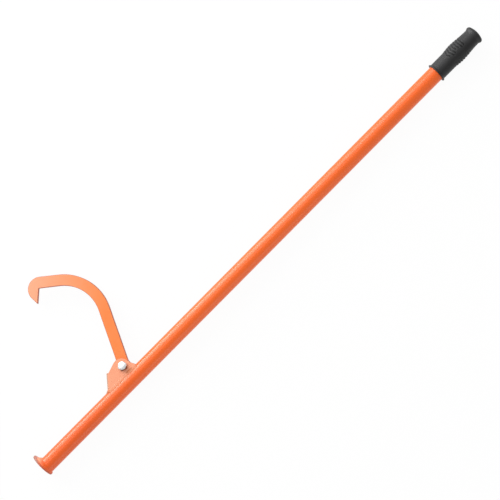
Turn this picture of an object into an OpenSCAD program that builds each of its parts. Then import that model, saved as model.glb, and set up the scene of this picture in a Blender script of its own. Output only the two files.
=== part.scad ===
// Felling lever: a steel tube with a rubber grip at one end and a round toe plate at the other,
// and a flat-bar hook that turns on a bolt in a bent-plate bracket near the toe.
// Origin: on the tube's axis, in the outer face of the toe plate.
// +X runs along the tube to the grip, +Y to the hook's side, +Z up as the lever lies on its side.

/* [Tube] */
// Overall length, toe face to grip end
lever_length = 1220; // [1000:5:1400]
// Outside diameter of the tube
tube_d = 33; // [31:0.5:34]
// Wall thickness of the tube
tube_wall = 2.5; // [1.5:0.1:4]

/* [Toe plate] */
// Diameter of the round toe plate
toe_d = 50; // [50:1:60]
// Thickness of the toe plate
toe_t = 3.5; // [3:0.5:8]
// How far the toe plate's centre sits towards the hook's side
toe_offset = 6; // [4:0.5:6]
// Leg of the weld fillet between toe plate and tube, on average round the tube
toe_weld_leg = 5.2; // [4:0.1:5.2]

/* [Bracket] */
// Distance of the hook's pivot from the toe face
pivot_x = 253.5; // [200:0.5:320]
// Height of the pivot above the tube's axis
pivot_y = 31; // [30.5:0.5:34]
// Thickness of the bracket plate
plate_t = 5; // [4:0.5:6]
// Outside bend radius of the bracket plate
bend_outer_r = 6; // [5.5:0.5:8]
// Angle of the bracket's web to the tube
web_angle = 49.7; // [40:0.1:60]
// Length of the web above the tube's surface
web_len = 39.8; // [34:0.1:41]
// Distance of the web's foot from the pivot, along the tube
web_back = 59.7; // [52:0.1:62]
// Radius of the round lobe of each cheek
lobe_r = 18.5; // [16:0.5:20]
// Distance of the lobe's centre from the pivot, towards the toe
lobe_back = 3.9; // [0:0.1:6]
// Distance of the lobe's centre below the pivot, towards the tube
lobe_down = 0.8; // [0:0.1:2]
// Distance of the cheeks' foot from the pivot, towards the grip
foot_ahead = 22; // [18:0.5:25]
// Radius of the weld beads along the bracket's foot
bead_r = 2.7; // [2:0.1:3.2]

/* [Hook] */
// Width of the hook's flat bar
bar_w = 22.8; // [18:0.1:24]
// Distance of the bolt hole from the bar's middle line, towards the toe
bolt_off = 1.8; // [0:0.1:3]
// Thickness of the hook's flat bar
bar_t = 10; // [8:0.5:12]
// Angle of the hook's stem to the tube, as the lever is stored
stem_angle = 65; // [40:0.5:90]
// Length of the straight stem from the pivot to the bend
stem_len = 121.7; // [90:0.1:150]
// Centre-line radius of the bend
bend_r = 87.7; // [70:0.1:100]
// Angle by which the arm falls short of square to the stem
arm_lean = 13.7; // [8:0.1:20]
// Length of the arm's straight inner edge
arm_len = 42.8; // [36:0.1:48]
// Length of the claw's inner edge
claw_len = 31.5; // [29:0.5:34]
// Direction of the claw, from the stem's direction
claw_angle = 157.2; // [155:0.1:162]
// Radius of the rounded nose behind the claw
nose_r = 25.2; // [23:0.1:26]
// Radius of the fillet between arm and claw
throat_r = 2.5; // [1:0.5:4]
// Clearance between the hook and each cheek
side_gap = 0.5; // [0.3:0.1:1]

/* [Pivot bolt] */
// Thread diameter of the bolt
bolt_d = 10; // [8:0.5:11]
// Length of the bolt under its head
bolt_len = 35; // [34:0.5:36]
// Width across flats of the bolt head and the nut
across_flats = 17; // [15:0.5:17]
// Height of the bolt head
head_h = 6.4; // [5:0.1:7]
// Radial running clearance of the hook on the bolt
bore_gap = 0.08; // [0.03:0.01:0.1]
// Outside diameter of the washer under the nut
washer_d = 20; // [18:0.5:21]
// Thickness of the washer
washer_t = 2; // [1.5:0.1:2.5]
// Overall height of the locking nut
nut_h = 10; // [9:0.5:11]

/* [Grip] */
// Length of the rubber grip
grip_len = 115; // [105:1:130]
// Radius of the thin lip at the grip's open end
lip_r = 20.9; // [19:0.1:21.5]
// Radius of the grip beside the lip
shank_r = 18.6; // [18:0.1:19]
// Radius of the palm swell
swell_r = 20.3; // [19:0.1:21]
// Radius of the neck before the end
neck_r = 17.8; // [17.6:0.1:18.4]
// Radius of the flared end
flare_r = 19.8; // [19:0.1:21]
// Number of raised ribs across the palm swell
rib_count = 7; // [3:1:9]
// Pitch of the ribs
rib_pitch = 6.2; // [5:0.1:7]
// Height of the ribs
rib_h = 0.6; // [0.3:0.1:1]

/* [Hidden] */

$fn = 96;
eps = 0.01;
orange = [0.90, 0.38, 0.18];
rubber = [0.20, 0.20, 0.21];
zinc = [0.85, 0.86, 0.88];
nylon = [0.25, 0.45, 0.75];

tube_r = tube_d / 2;
bore_r = tube_r - tube_wall;
grip_wall = 5;
tube_end = lever_length - grip_wall;
weld_shift = 2.8;

// Bracket: the space between the cheeks, its outer width, and the points of a cheek's outline.
cheek_gap = bar_t + 2 * side_gap;
bracket_w = cheek_gap + 2 * plate_t;
web_dir = [cos(web_angle), sin(web_angle)];
web_in = [sin(web_angle), -cos(web_angle)];
web_foot = [pivot_x - web_back, 14];
web_top = web_foot + web_len * web_dir;
web_shoulder = web_top + plate_t * web_in;
lobe_c = [pivot_x - lobe_back, pivot_y - lobe_down];
cheek_foot = [pivot_x + foot_ahead, 13];
lobe_last = -8;
sunk_y = 4;

// Hook: centre of the bend, radii of its edges, and the corners of arm and claw, in the hook's
// own frame with the pivot at the origin and the stem along +X.
bend_c = [stem_len, bend_r - bolt_off];
edge_out_r = bend_r + bar_w / 2;
edge_in_r = bend_r - bar_w / 2;
arm_start = bend_c + edge_in_r * [cos(arm_lean), -sin(arm_lean)];
throat = arm_start + arm_len * [sin(arm_lean), cos(arm_lean)];
claw_tip = throat + claw_len * [cos(claw_angle), sin(claw_angle)];
nose_c = throat - [2.9, 2.7];

bolt_r = bolt_d / 2;
hole_r = bolt_r + 0.25;
nut_z = -bracket_w / 2 - washer_t;
collar_h = 2.5;
collar_r = 7.6;
insert_r = 6.6;
insert_h = 2;

// Grip: where its stretches begin, measured from the open end.
lip_w = 2.4;
swell_from = 34;
swell_mid = 56.5;
neck_mid = 101;
rib_mid = 58;
rib_w = 3.6;
smooth_step = 3;

// Grip's closed end: a rounded rim, and a crown that leaves it at crown_angle.
rim_r = 5;
crown_angle = 22;
crown_r = flare_r - rim_r + rim_r * sin(crown_angle);
crown_h = crown_r * tan(crown_angle) / 2;
crown_at = grip_len - crown_h;
flare_at = crown_at - rim_r * cos(crown_angle);

// Points of an arc about c from angle a to angle b.
function arc(c, r, a, b, n) = [for (i = [0:n]) let (t = a + (b - a) * i / n) c + r * [cos(t), sin(t)]];

// Angle at which the line from point p touches the circle about c; side picks one of the two.
function touch(p, c, r, side) =
    let (d = p - c) atan2(d[1], d[0]) + side * acos(r / norm(d));

// Angle of the outer line that touches both circles, on their right as seen from a to b.
function shared_touch(a, ra, b, rb) =
    let (d = b - a) atan2(d[1], d[0]) - acos((ra - rb) / norm(d));

// Smooth step from 0 to 1 as x goes from a to b.
function ease(x, a, b) = let (t = min(1, max(0, (x - a) / (b - a)))) t * t * (3 - 2 * t);

// Places the children with their +Z along the tube.
module along_tube() {
    rotate([0, 90, 0]) children();
}

module handle_tube() {
    color(orange) along_tube() difference() {
        translate([0, 0, toe_t]) cylinder(h = tube_end - toe_t, r = tube_r);
        translate([0, 0, toe_t - 1]) cylinder(h = tube_end - toe_t + 2, r = bore_r);
    }
}

module toe_plate() {
    color(orange) translate([0, toe_offset, 0]) along_tube() cylinder(h = toe_t, d = toe_d);
}

// Fillet round the tube, wider on the hook's side, where the toe plate stands out farther.
module toe_weld() {
    height = toe_weld_leg + weld_shift + 1;
    color(orange) along_tube() difference() {
        translate([0, weld_shift, toe_t])
            cylinder(h = height, r1 = tube_r + toe_weld_leg, r2 = tube_r + toe_weld_leg - height);
        cylinder(h = toe_t + height + 1, r = tube_r);
    }
}

// Side view of the bracket, filled down into the tube.
module bracket_side() {
    first = touch(web_shoulder, lobe_c, lobe_r, -1);
    sunk = (web_foot[1] - sunk_y) / tan(web_angle);
    polygon(concat(
        [[web_foot[0] - sunk, sunk_y], web_top, web_shoulder],
        arc(lobe_c, lobe_r, first, lobe_last, 40),
        [cheek_foot, [cheek_foot[0], sunk_y]]
    ));
}

// Cross-section of the bent plate: the web's outer face on the Y axis, the cheeks along +X.
module channel_section() {
    half = bracket_w / 2;
    reach = 100;
    difference() {
        polygon(concat(
            [[reach, half]],
            arc([bend_outer_r, half - bend_outer_r], bend_outer_r, 90, 180, 12),
            arc([bend_outer_r, bend_outer_r - half], bend_outer_r, 180, 270, 12),
            [[reach, -half]]
        ));
        translate([plate_t, -cheek_gap / 2]) square([reach, cheek_gap]);
    }
}

module bracket() {
    color(orange) difference() {
        intersection() {
            translate([0, 0, -bracket_w / 2]) linear_extrude(bracket_w) bracket_side();
            translate([web_foot[0], web_foot[1], 0]) rotate([0, 0, web_angle - 90])
                rotate([90, 0, 0]) translate([0, 0, -80]) linear_extrude(160) channel_section();
        }
        along_tube() cylinder(h = lever_length, r = tube_r);
        translate([pivot_x, pivot_y, -bracket_w]) cylinder(h = 2 * bracket_w, r = hole_r);
    }
}

// Space taken by the tube and the bent plate, cut out of the weld beads.
module bracket_and_tube() {
    along_tube() cylinder(h = lever_length, r = tube_r);
    translate([0, 0, -bracket_w / 2]) linear_extrude(bracket_w) bracket_side();
}

// Bead along the outer face of one cheek; side is +1 or -1.
module cheek_weld(side) {
    foot_y = sqrt(pow(tube_r, 2) - pow(bracket_w / 2, 2));
    from_x = web_foot[0] + bend_outer_r;
    to_x = cheek_foot[0] - 1;
    color(orange) difference() {
        translate([from_x, foot_y, side * bracket_w / 2]) along_tube()
            cylinder(h = to_x - from_x, r = bead_r, $fn = 32);
        bracket_and_tube();
    }
}

// Bead round the tube, along the foot of the web.
module web_weld() {
    half_turn = 34;
    corner_x = web_foot[0] + (tube_r - web_foot[1]) / tan(web_angle);
    color(orange) difference() {
        translate([corner_x, 0, 0]) along_tube() rotate([0, 0, 90 - half_turn])
            rotate_extrude(angle = 2 * half_turn) translate([tube_r, 0]) circle(bead_r, $fn = 32);
        bracket_and_tube();
    }
}

// Outline of the hook in its own frame, from the stem's grip side round the nose and back.
module hook_outline() {
    outer_end = shared_touch(bend_c, edge_out_r, nose_c, nose_r);
    nose_end = touch(claw_tip, nose_c, nose_r, -1);
    half_angle = (270 - arm_lean - claw_angle) / 2;
    fillet_dir = claw_angle + half_angle;
    fillet_c = throat + throat_r / sin(half_angle) * [cos(fillet_dir), sin(fillet_dir)];
    polygon(concat(
        arc([0, -bolt_off], bar_w / 2, 90, 270, 32),
        arc(bend_c, edge_out_r, -90, outer_end, 36),
        arc(nose_c, nose_r, outer_end, nose_end, 28),
        [claw_tip],
        arc(fillet_c, throat_r, claw_angle - 90, -arm_lean, 8),
        arc(bend_c, edge_in_r, -arm_lean, -90, 32)
    ));
}

module turning_hook() {
    color(orange) translate([pivot_x, pivot_y, 0]) rotate([0, 0, stem_angle]) difference() {
        translate([0, 0, -bar_t / 2]) linear_extrude(bar_t) hook_outline();
        translate([0, 0, -bar_t]) cylinder(h = 2 * bar_t, r = bolt_r + bore_gap);
    }
}

// Hexagonal prism with its outer corners turned off at the top.
module hex_body(h) {
    corner_r = across_flats / 2 / cos(30);
    chamfer = 1.2;
    intersection() {
        cylinder(h = h, r = corner_r, $fn = 6);
        rotate_extrude() polygon([
            [0, 0], [corner_r + 1, 0], [corner_r + 1, h - chamfer - 0.5],
            [across_flats / 2 - 0.4, h], [0, h]
        ]);
    }
}

module pivot_bolt() {
    color(zinc) translate([pivot_x, pivot_y, bracket_w / 2]) {
        rotate([0, 0, 45]) hex_body(head_h);
        translate([0, 0, -bolt_len]) {
            translate([0, 0, 1]) cylinder(h = bolt_len - 1 + eps, r = bolt_r);
            cylinder(h = 1, r1 = bolt_r - 1, r2 = bolt_r);
        }
    }
}

module pivot_washer() {
    color(zinc) translate([pivot_x, pivot_y, nut_z]) difference() {
        cylinder(h = washer_t, d = washer_d);
        translate([0, 0, -1]) cylinder(h = washer_t + 2, r = hole_r);
    }
}

// Locking nut: a hexagon against the washer and a round collar that holds the nylon insert.
module pivot_nut() {
    color(zinc) translate([pivot_x, pivot_y, nut_z]) mirror([0, 0, 1]) difference() {
        union() {
            hex_body(nut_h - collar_h);
            cylinder(h = nut_h, r = collar_r);
        }
        translate([0, 0, -1]) cylinder(h = nut_h + 2, r = bolt_r);
        translate([0, 0, nut_h - insert_h]) cylinder(h = insert_h + 1, r = insert_r);
    }
}

module nut_insert() {
    color(nylon) translate([pivot_x, pivot_y, nut_z - nut_h]) difference() {
        cylinder(h = insert_h, r = insert_r);
        translate([0, 0, -1]) cylinder(h = insert_h + 2, r = bolt_r);
    }
}

// Radius of the grip without ribs, x from the open end up to the flare.
function smooth_r(x) =
    x < lip_w ? lip_r
    : lip_r + (shank_r - lip_r) * ease(x, lip_w, lip_w + 1.8)
      + (swell_r - shank_r) * ease(x, swell_from, swell_mid)
      + (neck_r - swell_r) * ease(x, swell_mid, neck_mid)
      + (flare_r - neck_r) * ease(x, neck_mid, flare_at);

// Point of the grip's outline at x, raised by rise.
function station(x, rise = 0) = [smooth_r(x) + rise, x];

// Flat-topped rib about x.
function rib(x) =
    [for (p = [[-0.5, 0], [-0.2, 1], [0.2, 1], [0.5, 0]]) station(x + p[0] * rib_w, p[1] * rib_h)];

// Closed rubber sleeve pushed over the end of the tube.
module rubber_grip() {
    half = (rib_count - 1) / 2;
    rib_reach = half * rib_pitch + rib_w / 2 + 1;
    side = concat(
        [for (x = [0, lip_w, lip_w + 1, lip_w + 1.8]) station(x)],
        [for (x = [lip_w + 4 : smooth_step : rib_mid - rib_reach]) station(x)],
        [for (n = [-half : half]) each rib(rib_mid + n * rib_pitch)],
        [for (x = [rib_mid + rib_reach : smooth_step : flare_at - 1]) station(x)]
    );
    dome = concat(
        arc([flare_r - rim_r, flare_at], rim_r, 0, 90 - crown_angle, 6),
        [for (k = [4 : -1 : 0]) [crown_r * k / 5, crown_at + crown_h * (1 - pow(k / 5, 2))]]
    );
    color(rubber) translate([lever_length - grip_len, 0, 0]) along_tube() rotate_extrude()
        polygon(concat(
            [[tube_r, 0]], side, dome, [[0, grip_len - grip_wall], [tube_r, grip_len - grip_wall]]
        ));
}

handle_tube();
toe_plate();
toe_weld();
bracket();
cheek_weld(1);  // cheek_weld_near
cheek_weld(-1);  // cheek_weld_far
web_weld();
turning_hook();
pivot_bolt();
pivot_washer();
pivot_nut();
nut_insert();
rubber_grip();
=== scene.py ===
"""Felling lever: orange steel tube, bracket and turning hook, zinc-plated bolt, black rubber grip."""

import math
import random

import bmesh
import bpy
from mathutils import Matrix, Vector


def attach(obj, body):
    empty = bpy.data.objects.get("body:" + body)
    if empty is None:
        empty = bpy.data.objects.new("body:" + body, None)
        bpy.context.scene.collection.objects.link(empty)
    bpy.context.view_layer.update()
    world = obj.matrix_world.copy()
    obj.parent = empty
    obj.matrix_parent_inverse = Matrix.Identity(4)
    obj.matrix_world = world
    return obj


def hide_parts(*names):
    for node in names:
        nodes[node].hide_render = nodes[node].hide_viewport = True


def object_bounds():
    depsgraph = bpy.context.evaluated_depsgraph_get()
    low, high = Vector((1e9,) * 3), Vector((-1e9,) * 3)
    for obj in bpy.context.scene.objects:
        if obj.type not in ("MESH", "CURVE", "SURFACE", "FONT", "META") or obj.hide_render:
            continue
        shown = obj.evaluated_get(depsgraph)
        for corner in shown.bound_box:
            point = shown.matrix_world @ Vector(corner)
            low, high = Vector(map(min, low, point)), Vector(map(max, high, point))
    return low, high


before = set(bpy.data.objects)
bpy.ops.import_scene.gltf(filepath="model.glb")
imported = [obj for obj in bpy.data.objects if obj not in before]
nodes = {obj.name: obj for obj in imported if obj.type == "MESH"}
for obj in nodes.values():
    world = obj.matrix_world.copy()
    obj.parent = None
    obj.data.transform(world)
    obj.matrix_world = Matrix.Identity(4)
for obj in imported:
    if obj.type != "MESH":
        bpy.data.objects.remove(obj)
cad_low, cad_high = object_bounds()
MM = 0.001

# Sizes that the added pieces share with the solids, in millimetres.
TUBE_R = 16.5
LEVER_LENGTH = 1220
TOE_T = 3.5
PIVOT_X, PIVOT_Y = 253.5, 31
BRACKET_W = 21
WEB_FOOT_X, WEB_FOOT_Y = 193.8, 14
WEB_ANGLE = math.radians(49.7)
CHEEK_FOOT_X = 275.5
BEND_R = 6
ACROSS_FLATS = 17
HEAD_H, HEAD_TURN = 6.4, math.radians(45)
BOLT_R, BOLT_LEN = 5, 35
WASHER_T = 2
NUT_H = 10
COLLAR_R, COLLAR_H = 7.6, 2.5
INSERT_R, INSERT_H = 6.6, 2
GRIP_LEN = 115
GRIP_START = LEVER_LENGTH - GRIP_LEN


# Meshes

FLAT_WITHIN = math.radians(0.5)
SHARP_FROM = math.radians(30)
SQUARE_ON = 0.99


def new_object(name, bm, materials, body, replaces=()):
    """Turns bm into a piece that rides on a body and stands for the named nodes."""
    mesh = bpy.data.meshes.new(name)
    bmesh.ops.recalc_face_normals(bm, faces=bm.faces)
    bm.to_mesh(mesh)
    bm.free()
    piece = bpy.data.objects.new(name, mesh)
    bpy.context.scene.collection.objects.link(piece)
    for m in materials:
        mesh.materials.append(m)
    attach(piece, body)
    if replaces:
        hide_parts(*replaces)
    return piece


def smooth_by_angle(bm, degrees):
    """Smooth faces, with edges sharper than the angle kept sharp."""
    limit = math.radians(degrees)
    for f in bm.faces:
        f.smooth = True
    for e in bm.edges:
        e.smooth = len(e.link_faces) == 2 and e.calc_face_angle(0) < limit


def loft(rings, closed_path=False):
    """Surface through closed rings of points; both ends are capped unless the path is closed."""
    bm = bmesh.new()
    rows = [[bm.verts.new(p) for p in ring] for ring in rings]
    n = len(rows[0])
    pairs = list(zip(rows, rows[1:]))
    if closed_path:
        pairs.append((rows[-1], rows[0]))
    for a, b in pairs:
        for i in range(n):
            j = (i + 1) % n
            bm.faces.new((a[i], a[j], b[j], b[i]))
    if not closed_path:
        bm.faces.new(list(reversed(rows[0])))
        bm.faces.new(rows[-1])
    return bm


def joined(parts):
    """One mesh of several, which are freed."""
    whole = bmesh.new()
    for part in parts:
        mesh = bpy.data.meshes.new("part")
        part.to_mesh(mesh)
        whole.from_mesh(mesh)
        part.free()
        bpy.data.meshes.remove(mesh)
    return whole


def dressed(node, name, materials, body, edge, face_axis=None):
    """Copy of a solid with its sharp edges rounded to a size in millimetres.

    The rounded strips take the second material. With a face_axis, so does every face that isn't
    square to that axis.
    """
    bm = bmesh.new()
    bm.from_mesh(nodes[node].data)
    bmesh.ops.remove_doubles(bm, verts=bm.verts, dist=1e-6)
    bmesh.ops.dissolve_limit(
        bm, angle_limit=FLAT_WITHIN, verts=bm.verts, edges=bm.edges, use_dissolve_boundaries=False,
    )
    picked = [e for e in bm.edges if len(e.link_faces) == 2 and e.calc_face_angle(0) > SHARP_FROM]
    bmesh.ops.bevel(
        bm, geom=picked, offset=edge * MM, offset_type="OFFSET", segments=3,
        profile=0.5, affect="EDGES", clamp_overlap=True, material=1,
    )
    for f in bm.faces:
        f.smooth = True
        if face_axis is not None and abs(f.normal[face_axis]) < SQUARE_ON:
            f.material_index = 1
    piece = new_object(name, bm, materials, body, [node])
    weighted = piece.modifiers.new("even shading", "WEIGHTED_NORMAL")
    weighted.keep_sharp = False
    weighted.weight = 80


# Materials

def scaled(colour, factor):
    return tuple(c * factor for c in colour)


class Shader:
    """Node tree with one Principled shader and a few shorthands."""

    def __init__(self, name, rough, metallic=0.0, specular=0.5):
        self.material = bpy.data.materials.new(name)
        self.material.use_nodes = True
        self.tree = self.material.node_tree
        self.bsdf = self.tree.nodes["Principled BSDF"]
        self.bsdf.inputs["Roughness"].default_value = rough
        self.bsdf.inputs["Metallic"].default_value = metallic
        self.bsdf.inputs["Specular IOR Level"].default_value = specular
        texture = self.tree.nodes.new("ShaderNodeTexCoord")
        self.coords = texture.outputs["Object"]
        self.normals = texture.outputs["Normal"]

    def link(self, a, b):
        self.tree.links.new(a, b)

    def axis(self, name, vector=None):
        """X, Y or Z of the object's coordinates, or of another vector."""
        node = self.tree.nodes.new("ShaderNodeSeparateXYZ")
        self.link(vector or self.coords, node.inputs["Vector"])
        return node.outputs[name]

    def stretched(self, scale):
        """The object's coordinates, scaled by a factor for each axis."""
        node = self.tree.nodes.new("ShaderNodeMapping")
        node.inputs["Scale"].default_value = scale
        self.link(self.coords, node.inputs["Vector"])
        return node.outputs["Vector"]

    def noise(self, scale, detail, rough=0.5, vector=None, distortion=0.0):
        node = self.tree.nodes.new("ShaderNodeTexNoise")
        node.inputs["Scale"].default_value = scale
        node.inputs["Detail"].default_value = detail
        node.inputs["Roughness"].default_value = rough
        node.inputs["Distortion"].default_value = distortion
        self.link(vector or self.coords, node.inputs["Vector"])
        return node.outputs["Fac"]

    def remap(self, value, low, high, to_low=0.0, to_high=1.0):
        """Goes from to_low to to_high as the value goes from low to high, and stays between them."""
        node = self.tree.nodes.new("ShaderNodeMapRange")
        node.inputs["From Min"].default_value = low
        node.inputs["From Max"].default_value = high
        node.inputs["To Min"].default_value = to_low
        node.inputs["To Max"].default_value = to_high
        self.link(value, node.inputs["Value"])
        return node.outputs["Result"]

    def math(self, kind, a, b):
        node = self.tree.nodes.new("ShaderNodeMath")
        node.operation = kind
        for i, v in enumerate((a, b)):
            if isinstance(v, (int, float)):
                node.inputs[i].default_value = v
            else:
                self.link(v, node.inputs[i])
        return node.outputs["Value"]

    def mix(self, factor, a, b):
        """Colour between a, at factor 0, and b, at factor 1."""
        node = self.tree.nodes.new("ShaderNodeMix")
        node.data_type = "RGBA"
        self.link(factor, node.inputs["Factor"])
        for key, v in (("A", a), ("B", b)):
            socket = [s for s in node.inputs if s.name == key and s.type == "RGBA"][0]
            if isinstance(v, tuple):
                socket.default_value = (*v, 1)
            else:
                self.link(v, socket)
        return [s for s in node.outputs if s.type == "RGBA"][0]

    def color(self, value):
        self.link(value, self.bsdf.inputs["Base Color"])

    def roughness(self, value):
        self.link(value, self.bsdf.inputs["Roughness"])

    def bump(self, *layers):
        """layers: (height, depth in millimetres), each added on top of the last."""
        normal = None
        for height, depth in layers:
            node = self.tree.nodes.new("ShaderNodeBump")
            node.inputs["Distance"].default_value = depth * MM
            node.inputs["Strength"].default_value = 1.0
            self.link(height, node.inputs["Height"])
            if normal:
                self.link(normal, node.inputs["Normal"])
            normal = node.outputs["Normal"]
        self.link(normal, self.bsdf.inputs["Normal"])


def paint(name, colour, deep, rough, peel=0.010, scuff=0.25, far=None, reach=None, bend=None):
    """Orange paint: orange peel, faint cloudiness, dust specks and fine handling scratches.

    The colour turns into far as Y minus X goes through reach, in metres, and into bend on faces
    that look towards the toe. far is a painted light and shade gradient; bend is painted shade.
    """
    s = Shader(name, rough, specular=0.54)
    cloud = s.remap(s.noise(scale=14, detail=4, rough=0.6), 0.35, 0.65)
    base = s.mix(cloud, colour, deep)
    if far:
        # Painted light and shade along Y minus X.
        along = s.math("SUBTRACT", s.axis("Y"), s.axis("X"))
        base = s.mix(s.remap(along, *reach), base, far)
    if bend:
        # Painted shade on faces that look towards the toe.
        painted_shade_toward_toe = s.remap(s.axis("X", s.normals), -0.20, -0.45)
        base = s.mix(painted_shade_toward_toe, base, bend)
    speck = s.remap(s.noise(scale=900, detail=1), 0.72, 0.80)
    base = s.mix(s.math("MULTIPLY", speck, 0.35), base, scaled(deep, 0.45))
    fine = s.noise(scale=60, detail=2, vector=s.stretched((1.2, 22, 22)), distortion=0.6)
    lines = s.remap(fine, 0.66, 0.74)
    patches = s.remap(s.noise(scale=9, detail=2), 0.50, 0.62)
    scratch = s.math("MULTIPLY", s.math("MULTIPLY", lines, patches), scuff)
    base = s.mix(scratch, base, tuple(min(1, c * 1.1 + 0.10) for c in colour))
    s.color(base)
    uneven = s.remap(s.noise(scale=45, detail=3, rough=0.6), 0.3, 0.7, rough * 0.85, rough * 1.2)
    s.roughness(s.math("ADD", uneven, s.math("MULTIPLY", scratch, 0.5)))
    s.bump((s.noise(scale=520, detail=2, rough=0.45), peel), (s.noise(scale=120, detail=2), peel * 1.5))
    return s.material


def zinc(name, tint, rough):
    """Zinc plating: faint mottling, fine pitting and darker water spots."""
    s = Shader(name, rough, metallic=1.0)
    mottle = s.remap(s.noise(scale=420, detail=4, rough=0.6), 0.35, 0.65)
    base = s.mix(mottle, tint, scaled(tint, 0.90))
    spots = s.remap(s.noise(scale=180, detail=2), 0.62, 0.72)
    base = s.mix(s.math("MULTIPLY", spots, 0.3), base, (0.52, 0.50, 0.46))
    s.color(base)
    s.roughness(s.remap(s.noise(scale=700, detail=3, rough=0.6), 0.3, 0.7, rough * 0.8, rough * 1.25))
    s.bump((s.noise(scale=1500, detail=2), 0.008))
    return s.material


def rubber(name, base, light, rough, specular, far, reach):
    """Moulded black rubber: fine leather-like grain, pale handling dust and slightly shiny high spots.

    The base turns into far as Y goes through reach, in metres: painted light, lighter towards +Y.
    """
    s = Shader(name, rough, specular=specular)
    dust = s.remap(s.noise(scale=60, detail=5, rough=0.65), 0.42, 0.72)
    fine = s.remap(s.noise(scale=1400, detail=2), 0.45, 0.75)
    amount = s.math("MULTIPLY", s.math("ADD", dust, fine), 0.5)
    near_side = s.mix(amount, base, light)
    painted_lit_side_colour = s.mix(amount, far, scaled(far, 1.5))
    # Painted light: the rubber turns lighter towards +Y.
    s.color(s.mix(s.remap(s.axis("Y"), *reach), near_side, painted_lit_side_colour))
    s.roughness(s.remap(s.noise(scale=90, detail=3, rough=0.6), 0.3, 0.7, rough * 0.88, rough * 1.12))
    grain = s.tree.nodes.new("ShaderNodeTexVoronoi")
    grain.inputs["Scale"].default_value = 1300
    s.link(s.coords, grain.inputs["Vector"])
    s.bump((grain.outputs["Distance"], 0.05), (s.noise(scale=2600, detail=1), 0.012))
    return s.material


def plastic(name, base, deep, rough):
    """Nylon: slightly cloudy, with fine moulding texture."""
    s = Shader(name, rough)
    s.color(s.mix(s.remap(s.noise(scale=300, detail=3), 0.35, 0.65), base, deep))
    s.roughness(s.remap(s.noise(scale=500, detail=2), 0.3, 0.7, rough * 0.85, rough * 1.15))
    s.bump((s.noise(scale=1200, detail=2), 0.01))
    return s.material


# Painted shade: the tube's orange is darker and redder from the toe to about 0.12 m, and turns lighter by
# 0.32 m.
tube_paint = paint(
    "tube_paint", (0.79, 0.103, 0.002), (0.78, 0.096, 0.002), rough=0.30, peel=0.002, scuff=0.08,
    far=(0.85, 0.118, 0.003), reach=(-0.12, -0.32),
)
# Painted sheen: the bracket's paint is a paler, pinker copy of the tube's orange. Painted shade: faces
# that look towards the toe turn darker.
plate_paint = paint(
    "plate_paint", (0.85, 0.328, 0.180), (0.84, 0.308, 0.163), rough=0.40,
    bend=(0.48, 0.255, 0.16),
)
# Painted sheen: the toe disc turns paler and greyer towards +Y, the hook's side.
toe_paint = paint(
    "toe_paint", (0.80, 0.150, 0.040), (0.76, 0.130, 0.030), rough=0.42, scuff=0.5,
    far=(0.58, 0.225, 0.145), reach=(0.004, 0.018),
)
# Painted sheen: the hook's paint is a paler copy of the tube's orange, and turns paler still along its
# arm, towards +Y.
hook_paint = paint(
    "hook_paint", (0.83, 0.203, 0.034), (0.82, 0.193, 0.029), rough=0.40,
    far=(0.81, 0.335, 0.182), reach=(-0.17, 0.05),
)
# Painted shade: darker orange on the toe disc's rim, darkest at its tip on the +Y side.
toe_rim_shade_paint = paint(
    "toe_rim_shade_paint", (0.58, 0.110, 0.040), (0.48, 0.080, 0.030), rough=0.45, scuff=0.5,
    far=(0.34, 0.120, 0.075), reach=(0.004, 0.016),
)
# Painted shade: darker orange for the rounded edges of the bracket and hook, and the hook's walls.
edge_shade_paint = paint("edge_shade_paint", (0.48, 0.110, 0.050), (0.41, 0.085, 0.040), rough=0.45, scuff=0.5)
# Painted shade: the welds are a darker copy of the orange, for the shade in the corners between the cheeks
# and the tube.
weld_paint = paint("weld_paint", (0.61, 0.178, 0.060), (0.56, 0.158, 0.050), rough=0.44, peel=0.012)
# Painted shade: as the cheek welds, and darker still on faces that look towards the toe.
web_weld_paint = paint(
    "web_weld_paint", (0.61, 0.178, 0.060), (0.56, 0.158, 0.050), rough=0.44, peel=0.012,
    bend=(0.46, 0.175, 0.085),
)
# Painted highlight: the toe weld turns paler towards +Y, the hook's side.
toe_weld_paint = paint(
    "toe_weld_paint", (0.82, 0.116, 0.010), (0.78, 0.104, 0.008), rough=0.38, peel=0.012,
    far=(0.84, 0.270, 0.140), reach=(-0.004, 0.010),
)
zinc_plate = zinc("zinc_plate", (0.93, 0.935, 0.945), rough=0.24)
# Painted reflection and shade: dark brown-orange metal for the lower side of the bolt's head.
zinc_shaded_side = zinc("zinc_shaded_side", (0.22, 0.09, 0.055), rough=0.34)
nylon = plastic("nylon", (0.05, 0.16, 0.50), (0.04, 0.13, 0.42), rough=0.40)
# Painted light: far, on the +Y side, is several times lighter than the base.
grip_rubber = rubber(
    "grip_rubber", (0.004, 0.004, 0.004), (0.010, 0.010, 0.010), rough=0.47, specular=0.38,
    far=(0.025, 0.025, 0.0255), reach=(-0.009, 0.002),
)
# Painted shade: darker rubber in the grooves between the bars, lighter towards +Y.
groove_shade_rubber = rubber(
    "groove_shade_rubber", (0.003, 0.003, 0.003), (0.006, 0.006, 0.006), rough=0.55, specular=0.3,
    far=(0.014, 0.014, 0.0145), reach=(0.0, 0.010),
)


# Painted steel

def keep_node(node, material):
    """Carries a solid over as it is, with its material."""
    mesh = nodes[node].data
    mesh.materials.clear()
    mesh.materials.append(material)


keep_node("handle_tube", tube_paint)
# Painted shade: the second paint goes on the rounded edges, and on the toe disc's rim and the hook's
# walls.
dressed("toe_plate", "toe_disc", [toe_paint, toe_rim_shade_paint], "lever", 0.5, face_axis=0)
dressed("bracket", "bent_bracket", [plate_paint, edge_shade_paint], "lever", 0.4)
dressed("turning_hook", "hook_bar", [hook_paint, edge_shade_paint], "hook", 1.1, face_axis=2)


# Welds

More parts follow.
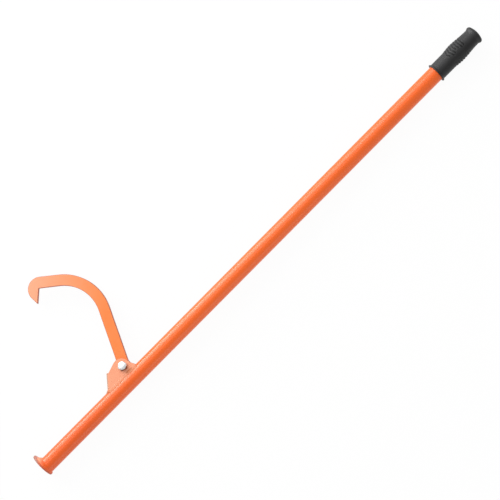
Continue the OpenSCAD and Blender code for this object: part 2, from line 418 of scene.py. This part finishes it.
BEAD_STEP = 0.3
WELD_LEG, WELD_CROWN = 4.4, 0.15
CHEEK_HALF = 68
WEB_TOWARD, WEB_HALF = -25, 65
WEB_REACH, WEB_STEPS = 40, 90
TOE_TOWARD, TOE_HALF = 45, 45
TOE_LEG, TOE_LEG_SWING, TOE_CROWN = 5.2, 2.8, 0.08
RIPPLE, RIPPLE_MEAN, RIPPLE_LEAN = 0.07, 0.6, 0.9
RIPPLE_PITCH, TOE_RIPPLE_PITCH = 1.9, 2.1
DRIFT, DRIFT_STEP, DRIFT_COUNT = 0.05, 5, 64
TAPER, THINNEST = 3.0, 0.02
FILLET_STEPS, FILLET_OVERLAP, FILLET_LIMIT = 8, 9, 1.25
FILLET_BACK, FILLET_BACK_TURN = 0.4, 60


def drifted(drift, along):
    """Slow change of a bead's size, between the random values of drift."""
    step = along / DRIFT_STEP
    share = step % 1
    return drift[int(step) % DRIFT_COUNT] * (1 - share) + drift[int(step + 1) % DRIFT_COUNT] * share


def bead(name, frames, section, node, material=weld_paint, closed=False, pitch=RIPPLE_PITCH):
    """Rippled weld bead that thins out at its ends, unless it is closed.

    frames: (corner, first axis, second axis, distance along) in millimetres.
    section: function of the distance along that gives (angle, radius) pairs about the corner.
    """
    rng = random.Random(name)
    drift = [rng.uniform(-1, 1) for _ in range(DRIFT_COUNT)]
    total = frames[-1][3] - frames[0][3]
    rings = []
    for centre, a, b, along in frames:
        fade = 1
        to_end = min(along, total - along)
        if not closed and to_end <= TAPER:
            fade = math.sqrt(max(THINNEST, 1 - (1 - to_end / TAPER) ** 2))
        wander = DRIFT * drifted(drift, along)
        ring = []
        for t, r in section(along):
            phase = ((along + RIPPLE_LEAN * math.cos(t) ** 2) / pitch) % 1
            r *= (1 + RIPPLE * (math.sqrt(phase) - RIPPLE_MEAN) + wander) * fade
            ring.append((centre + r * (math.cos(t) * a + math.sin(t) * b)) * MM)
        rings.append(ring)
    bm = loft(rings, closed_path=closed)
    for f in bm.faces:
        f.smooth = True
    new_object(name, bm, [material], "lever", [node])


def fillet(leg, toward, half, crown=WELD_CROWN):
    """Section of a fillet in a corner that opens towards an angle, with half its opening in degrees.

    Its face runs straight from leg to leg, raised by crown in the middle. Its back lies in the metal.
    """
    out = []
    for i in range(2 * FILLET_STEPS + 1):
        u = (i / FILLET_STEPS - 1) * (half + FILLET_OVERLAP)
        chord = math.cos(math.radians(half)) / math.cos(math.radians(u))
        raised = 1 + crown * max(0, 1 - (u / half) ** 2)
        out.append((math.radians(toward + u), leg * min(FILLET_LIMIT, chord * raised)))
    for u in (half + FILLET_BACK_TURN, 180, -half - FILLET_BACK_TURN):
        out.append((math.radians(toward + u), leg * FILLET_BACK))
    return out


def cheek_frames(z):
    """Frames along the foot of the cheek whose outer face is at z."""
    foot_y = math.sqrt(TUBE_R**2 - (BRACKET_W / 2) ** 2)
    start = Vector((WEB_FOOT_X + 3, foot_y, z))
    run = Vector((CHEEK_FOOT_X - 1, foot_y, z)) - start
    n = int(run.length / BEAD_STEP)
    return [
        (start + run * (i / n), Vector((0, 1, 0)), Vector((0, 0, 1)), run.length * i / n)
        for i in range(n + 1)
    ]


def web_frames():
    """Frames along the corner between the tube and the web, round the web's bends."""
    out = []
    for i in range(WEB_STEPS + 1):
        t = math.radians(90 + WEB_REACH - 2 * WEB_REACH * i / WEB_STEPS)
        radial = Vector((0, math.sin(t), math.cos(t)))
        y, z = TUBE_R * radial.y, TUBE_R * radial.z
        bend = max(0, min(BEND_R, abs(z) - (BRACKET_W / 2 - BEND_R)))
        inset = BEND_R - math.sqrt(BEND_R**2 - bend**2)
        x = WEB_FOOT_X + (y - WEB_FOOT_Y) / math.tan(WEB_ANGLE) + inset / math.sin(WEB_ANGLE)
        along = math.radians(2 * WEB_REACH) * TUBE_R * i / WEB_STEPS
        out.append((Vector((x, y, z)), radial, Vector((1, 0, 0)), along))
    return out


def toe_frames():
    """Frames round the tube in the toe's corner; the first axis is radial, the second along the tube."""
    girth = math.radians(360) * TUBE_R
    n = int(girth / BEAD_STEP)
    out = []
    for i in range(n):
        t = math.radians(360 * i / n)
        radial = Vector((0, math.sin(t), math.cos(t)))
        out.append((Vector((TOE_T, 0, 0)) + TUBE_R * radial, radial, Vector((1, 0, 0)), girth * i / n))
    return out


def cheek_section(side):
    """Section function of a cheek's bead, the same all along."""
    return lambda along: fillet(WELD_LEG, side * CHEEK_HALF, CHEEK_HALF)


def web_section(along):
    return fillet(WELD_LEG, WEB_TOWARD, WEB_HALF)


def toe_section(along):
    """Section of the toe weld, larger on the hook's side."""
    leg = TOE_LEG + TOE_LEG_SWING * math.sin(along / TUBE_R)
    return fillet(leg, TOE_TOWARD, TOE_HALF, TOE_CROWN)


for side, node in ((1, "cheek_weld_near"), (-1, "cheek_weld_far")):
    bead(node + "_bead", cheek_frames(side * BRACKET_W / 2), cheek_section(side), node)
bead("web_bead", web_frames(), web_section, "web_weld", web_weld_paint)
bead(
    "toe_bead", toe_frames(), toe_section, "toe_weld", toe_weld_paint,
    closed=True, pitch=TOE_RIPPLE_PITCH,
)


# Bolt, washer and nut

HEAD_FLAT_R, NUT_FLAT_R = 7.5, 8.0
HEX_SOFTENED = 0.35
CHAMFER = math.radians(25)
THREAD_FROM, THREAD_PITCH, THREAD_DEPTH = -21.2, 1.5, 0.75
THREAD_GAP, THREAD_SLOPE, THREAD_CREST = 0.05, 1.25, 0.12
PLAIN_SHANK = (0.5, -21)
END_CHAMFER = 1
# Direction, in XY, of the bolt head's side with the painted reflection and shade.
DARK_X, DARK_Y, DARK_SHARE = -0.31, -0.95, 0.5


def angles(n):
    return [2 * math.pi * i / n for i in range(n)]


HEX_ANGLES, SHANK_ANGLES = angles(120), angles(60)


def around(centre, radius, height, turns=HEX_ANGLES):
    """Ring about the Z axis; radius and height may be functions of the angle."""
    def at(v, t):
        return v(t) if callable(v) else v
    return [
        (centre + Vector((at(radius, t) * math.cos(t), at(radius, t) * math.sin(t), at(height, t)))) * MM
        for t in turns
    ]


def hex_radius(t):
    """Radius of the hexagon in direction t, with a corner at t = 0."""
    return ACROSS_FLATS / 2 / math.cos((t % (math.pi / 3)) - math.pi / 6)


def hex_rings(centre, low, high, flat_r, turn=0.0):
    """Rings of a turned hexagon, whose corners are chamfered at the high end down to radius flat_r."""
    sign = math.copysign(1, high - low)

    def side(t):
        return hex_radius(t - turn)

    def chamfered(t):
        return high - sign * max(0.0, (side(t) - flat_r) * math.tan(CHAMFER))

    return [
        around(centre, lambda t: side(t) - HEX_SOFTENED, low),
        around(centre, side, low + sign * HEX_SOFTENED),
        around(centre, side, chamfered),
        around(centre, flat_r, high),
    ]


def thread(centre, top, bottom):
    """Rings of a shank with a helical thread from top down to bottom, and a chamfered end."""
    steps = int((top - bottom) / (THREAD_PITCH / 10))
    rings = []
    for i in range(steps + 1):
        z = top + (bottom - top) * i / steps

        def radius(t, z=z):
            phase = (z / THREAD_PITCH + t / (2 * math.pi)) % 1
            wave = 1 - abs(2 * phase - 1)
            cut = min(1, max(0, THREAD_SLOPE * wave - THREAD_CREST))
            return min(BOLT_R - THREAD_GAP - THREAD_DEPTH * cut, BOLT_R - END_CHAMFER + (z - bottom))

        rings.append(around(centre, radius, z, SHANK_ANGLES))
    return rings


def hex_bolt():
    """Bolt whose head has a painted reflection of the orange tube and painted shade on the chamfer and
    walls of its lower side.
    """
    centre = Vector((PIVOT_X, PIVOT_Y, BRACKET_W / 2))
    head = loft(
        hex_rings(centre, 0, HEAD_H, HEAD_FLAT_R, HEAD_TURN) + [around(centre, 0.3, HEAD_H)]
    )
    smooth_by_angle(head, 24)
    # Chamfer and wall faces on the head's lower side take the painted reflection and shade.
    for f in head.faces:
        at = f.calc_center_median() / MM - centre
        lower = DARK_X * at.x + DARK_Y * at.y > DARK_SHARE * at.xy.length
        if at.z < HEAD_H - 0.01 and lower:
            f.material_index = 1
    shank = loft(
        [around(centre, BOLT_R, z, SHANK_ANGLES) for z in PLAIN_SHANK]
        + thread(centre, THREAD_FROM, -BOLT_LEN)
    )
    smooth_by_angle(shank, 50)
    both = joined((head, shank))
    new_object("hex_bolt", both, [zinc_plate, zinc_shaded_side], "lever", ["pivot_bolt"])


def lock_nut():
    """Hexagon with a bore and a round collar, which leaves room for the nylon ring."""
    centre = Vector((PIVOT_X, PIVOT_Y, -BRACKET_W / 2 - WASHER_T))
    bore = [(BOLT_R, -1.0), (BOLT_R + 0.8, 0)]
    collar = [
        (COLLAR_R, NUT_H - COLLAR_H), (COLLAR_R, NUT_H - 0.6), (COLLAR_R - 0.3, NUT_H - 0.1),
        (COLLAR_R - 0.7, NUT_H), (INSERT_R, NUT_H - 0.1), (INSERT_R, NUT_H - INSERT_H),
        (BOLT_R, NUT_H - INSERT_H),
    ]
    nut = loft(
        [around(centre, r, z) for r, z in bore]
        + hex_rings(centre, 0, COLLAR_H - NUT_H, NUT_FLAT_R)
        + [around(centre, r, -z) for r, z in collar],
        closed_path=True,
    )
    smooth_by_angle(nut, 24)
    new_object("lock_nut", nut, [zinc_plate], "lever", ["pivot_nut"])


hex_bolt()
dressed("pivot_washer", "flat_washer", [zinc_plate, zinc_plate], "lever", 0.3)
lock_nut()
dressed("nut_insert", "nylon_ring", [nylon, nylon], "lever", 0.25)


# Grip

GRIP_POINTS = 176
SHANK_R, SWELL_R, NECK_R, FLARE_R, LIP_R = 18.6, 20.3, 17.8, 19.8, 20.88
LIP_FROM, LIP_TO, LIP_EDGE_R = 1.6, 4.2, 0.7
SWELL_FROM, SWELL_MID, NECK_MID = 34, 56.5, 101
RIM_R, RIM_STEPS = 5, 11
CROWN_ANGLE = math.radians(22)
CROWN_STEPS, CROWN_END = 40, 39.5
CROWN_R = FLARE_R - RIM_R + RIM_R * math.sin(CROWN_ANGLE)
CROWN_H = CROWN_R * math.tan(CROWN_ANGLE) / 2
CROWN_AT = GRIP_LEN - CROWN_H
FLARE_AT = CROWN_AT - RIM_R * math.cos(CROWN_ANGLE)
RIDGE_H, RIDGE_PITCH, RIDGED_STEPS = 0.14, 5, 28

# The two pads of bent bars on the swell; lengths in millimetres, angles in degrees from +Y.
PAD_MID, PAD_RISE, PAD_FLANK = 30, 0.4, 8
PAD_FLAT, PAD_HALF = 17, 23
PAD_END, ARCH_RISE, ARCH_AT, ARCH_PITCH = 95, 9, 49, 24
RIB_PITCH, RIB_MID = 6.1, 58
BEND_AT, BEND_HALF, BEND_DEPTH = 66, 28, 3.2
BEND_FROM, BEND_FADE = 43, 30
GROOVE_DEPTH, GROOVE_FLOOR, GROOVE_TOP, GROOVE_FLANK = 0.85, 0.9, 1.7, 5
LAST_GROOVE = (3.2, 3.4)
DARK_GROOVE = 0.45


def ease(x, a, b):
    """0 up to a and 1 from b, with a smooth rise between."""
    t = min(1, max(0, (x - a) / (b - a)))
    return t * t * (3 - 2 * t)


def grip_radius(x):
    """Radius of the grip without ribs, x from its open end."""
    r = SHANK_R + (LIP_R - SHANK_R) * (1 - ease(x, LIP_FROM, LIP_TO))
    r -= LIP_EDGE_R * (1 - math.sqrt(max(0, 1 - (1 - min(x, LIP_EDGE_R) / LIP_EDGE_R) ** 2)))
    r += (SWELL_R - SHANK_R) * ease(x, SWELL_FROM, SWELL_MID)
    r += (NECK_R - SWELL_R) * ease(x, SWELL_MID, NECK_MID)
    return r + (FLARE_R - NECK_R) * ease(x, NECK_MID, FLARE_AT)


def pad_turn(t):
    """Angle t in degrees, with both pads and both halves of a pad folded onto one half pad."""
    return PAD_MID + abs((math.degrees(t) - PAD_MID + 90) % 180 - 90)


def pad_end(x):
    """Angle at which the pads end, in shallow arches along the grip."""
    return PAD_END + ARCH_RISE * math.cos(2 * math.pi * (x - ARCH_AT) / ARCH_PITCH)


def groove(x, t):
    """Depth share, 0 to 1, of the seven grooves between the bars of a pad."""
    turn = pad_turn(t)
    bend = BEND_DEPTH * (1 - (x - BEND_FROM) / BEND_FADE) * (abs(turn - BEND_AT) / BEND_HALF - 0.5)
    steps = (x - RIB_MID - bend) / RIB_PITCH
    off = abs(steps - round(steps)) * RIB_PITCH
    inside = (1 - ease(turn, pad_end(x) - GROOVE_FLANK, pad_end(x))) * (1 - ease(abs(steps), *LAST_GROOVE))
    return (1 - ease(off, GROOVE_FLOOR, GROOVE_TOP)) * inside


def rib_height(x, t):
    """Height over grip_radius of the two low pads, on opposite sides of the swell, and their grooves."""
    across = 1 - ease(pad_turn(t), pad_end(x), pad_end(x) + PAD_FLANK)
    pad = across * (1 - ease(abs(x - RIB_MID), PAD_FLAT, PAD_HALF))
    return PAD_RISE * pad - GROOVE_DEPTH * groove(x, t)


def stations(start, step, n):
    return [start + step * i for i in range(n)]


def crown_outline():
    """(distance, radius) pairs of the closed end: a round rim, and a crown with fine rings."""
    out = []
    for i in range(RIM_STEPS + 1):
        a = (math.pi / 2 - CROWN_ANGLE) * i / RIM_STEPS
        out.append((FLARE_AT + RIM_R * math.sin(a), FLARE_R - RIM_R + RIM_R * math.cos(a)))
    for i in range(1, CROWN_STEPS):
        k = 1 - i / CROWN_END
        ridge = RIDGE_H * math.cos(2 * math.pi * i / RIDGE_PITCH) if i < RIDGED_STEPS else 0
        out.append((CROWN_AT + CROWN_H * (1 - k**2) + min(0, ridge - RIDGE_H), CROWN_R * k))
    return out


def grip_ring(x, radius):
    """Ring round the grip at x from its open end; radius is a function of the angle."""
    ring = []
    for k in range(GRIP_POINTS):
        t = 2 * math.pi * (k / GRIP_POINTS)
        r = radius(t)
        ring.append(Vector((GRIP_START + x, r * math.cos(t), r * math.sin(t))) * MM)
    return ring


def ribbed_grip():
    """Rubber grip, closed at its crown; the grooves take the darker rubber, as painted shade."""
    xs = [0, 0.1, 0.25, 0.45, 0.7, 1.2, 1.6, 2.0, 2.5, 3.0, 3.6, 4.2, 5, 6]
    xs += stations(8, 1.6, 17) + stations(34.6, 0.35, 137)
    xs += stations(84, 1.2, 14) + stations(101, 0.6, 10)
    rings = [grip_ring(x, lambda t, x=x: grip_radius(x) + rib_height(x, t)) for x in xs]
    rings += [grip_ring(x, lambda t, r=r: r) for x, r in crown_outline()]
    bm = loft(rings)
    smooth_by_angle(bm, 55)
    for f in bm.faces:
        at = f.calc_center_median() / MM
        # Painted shade in the grooves.
        if groove(at.x - GRIP_START, math.atan2(at.z, at.y)) > DARK_GROOVE:
            f.material_index = 1
    materials = [grip_rubber, groove_shade_rubber]
    new_object("ribbed_grip", bm, materials, "lever", ["rubber_grip"])


ribbed_grip()


# Floor, light and camera, in metres

FLOOR_GAP = 0.0003
FLOOR_CORNERS = ((-7, -7), (8, -7), (8, 7), (-7, 7))


def floor_white():
    """White that glossy and camera rays see as nearly white, and that still takes a soft shadow."""
    m = bpy.data.materials.new("floor_white")
    m.use_nodes = True
    tree = m.node_tree
    tree.nodes.clear()
    diffuse = tree.nodes.new("ShaderNodeBsdfDiffuse")
    diffuse.inputs["Color"].default_value = (0.88, 0.88, 0.88, 1)
    glow = tree.nodes.new("ShaderNodeEmission")
    glow.inputs["Color"].default_value = (1, 1, 1, 1)
    glow.inputs["Strength"].default_value = 1.0
    path = tree.nodes.new("ShaderNodeLightPath")
    total = path.outputs["Is Camera Ray"]
    for ray in ("Is Glossy Ray", "Is Transmission Ray"):
        add = tree.nodes.new("ShaderNodeMath")
        add.operation = "ADD"
        tree.links.new(total, add.inputs[0])
        tree.links.new(path.outputs[ray], add.inputs[1])
        total = add.outputs["Value"]
    share = tree.nodes.new("ShaderNodeMath")
    share.operation = "MULTIPLY"
    share.inputs[1].default_value = 0.95
    tree.links.new(total, share.inputs[0])
    mix = tree.nodes.new("ShaderNodeMixShader")
    tree.links.new(share.outputs["Value"], mix.inputs["Fac"])
    tree.links.new(diffuse.outputs["BSDF"], mix.inputs[1])
    tree.links.new(glow.outputs["Emission"], mix.inputs[2])
    out = tree.nodes.new("ShaderNodeOutputMaterial")
    tree.links.new(mix.outputs["Shader"], out.inputs["Surface"])
    return m


def floor():
    """Flat floor just under the lever's lowest point."""
    bm = bmesh.new()
    for x, y in FLOOR_CORNERS:
        bm.verts.new((x, y, cad_low[2] - FLOOR_GAP))
    bm.faces.new(bm.verts)
    mesh = bpy.data.meshes.new("floor")
    bm.to_mesh(mesh)
    bm.free()
    mesh.materials.append(floor_white())
    plane = bpy.data.objects.new("floor", mesh)
    bpy.context.scene.collection.objects.link(plane)


def softbox(name, target, lean, distance, size, radiance):
    """Soft light that faces its target, leaning lean degrees from straight above it towards +Y."""
    light = bpy.data.lights.new(name, "AREA")
    light.shape = "RECTANGLE"
    light.size, light.size_y = size
    light.energy = radiance * math.pi * size[0] * size[1]
    lamp = bpy.data.objects.new(name, light)
    bpy.context.scene.collection.objects.link(lamp)
    back = Vector((0, math.sin(math.radians(lean)), math.cos(math.radians(lean)))).normalized()
    side = Vector((1, 0, 0))
    up = back.cross(side).normalized()
    lamp.matrix_world = Matrix((side, up, back)).transposed().to_4x4()
    lamp.matrix_world.translation = Vector(target) + distance * back
    lamp.visible_camera = False


def studio_world(strength):
    """Even white light from all round."""
    world = bpy.data.worlds.new("studio")
    world.use_nodes = True
    background = world.node_tree.nodes["Background"]
    background.inputs["Color"].default_value = (1, 1, 1, 1)
    background.inputs["Strength"].default_value = strength
    bpy.context.scene.world = world


def camera():
    """Looks down on the lever, 8 degrees off the vertical towards the side away from the hook."""
    target = Vector((0.5948, 0.0151, 0))
    back = Vector((-0.0032, -0.1387, 1)).normalized()
    distance = 3.1826
    roll = math.radians(44.952)
    side = Vector((math.sin(roll), math.cos(roll), 0)).cross(back).normalized()
    up = back.cross(side)
    data = bpy.data.cameras.new("camera")
    data.sensor_width = 36
    data.lens = 115.2
    data.clip_end = 60
    eye = bpy.data.objects.new("camera", data)
    bpy.context.scene.collection.objects.link(eye)
    eye.matrix_world = Matrix((side, up, back)).transposed().to_4x4()
    eye.matrix_world.translation = target + distance * back
    bpy.context.scene.camera = eye


floor()
softbox("key", target=(0.45, 0.05, 0), lean=62, distance=2.6, size=(2.4, 1.3), radiance=3.45)
softbox("high_key", target=(0.75, 0.05, 0), lean=45, distance=2.6, size=(2.4, 0.9), radiance=2.4)
softbox("low_key", target=(0.6, 0.05, 0), lean=87, distance=2.4, size=(1.7, 0.5), radiance=3.2)
softbox("toe_strip", target=(-0.1, 0.05, 0), lean=77, distance=2.2, size=(1.4, 0.65), radiance=7.0)
softbox("overhead", target=(0.05, 1.075, 0), lean=0, distance=3.5, size=(3.1, 1.25), radiance=1.45)
softbox("fill", target=(0.1, 0.05, 0), lean=-72, distance=2.6, size=(2.0, 1.2), radiance=1.0)
studio_world(0.63)
bpy.context.scene.view_settings.view_transform = "Standard"
camera()
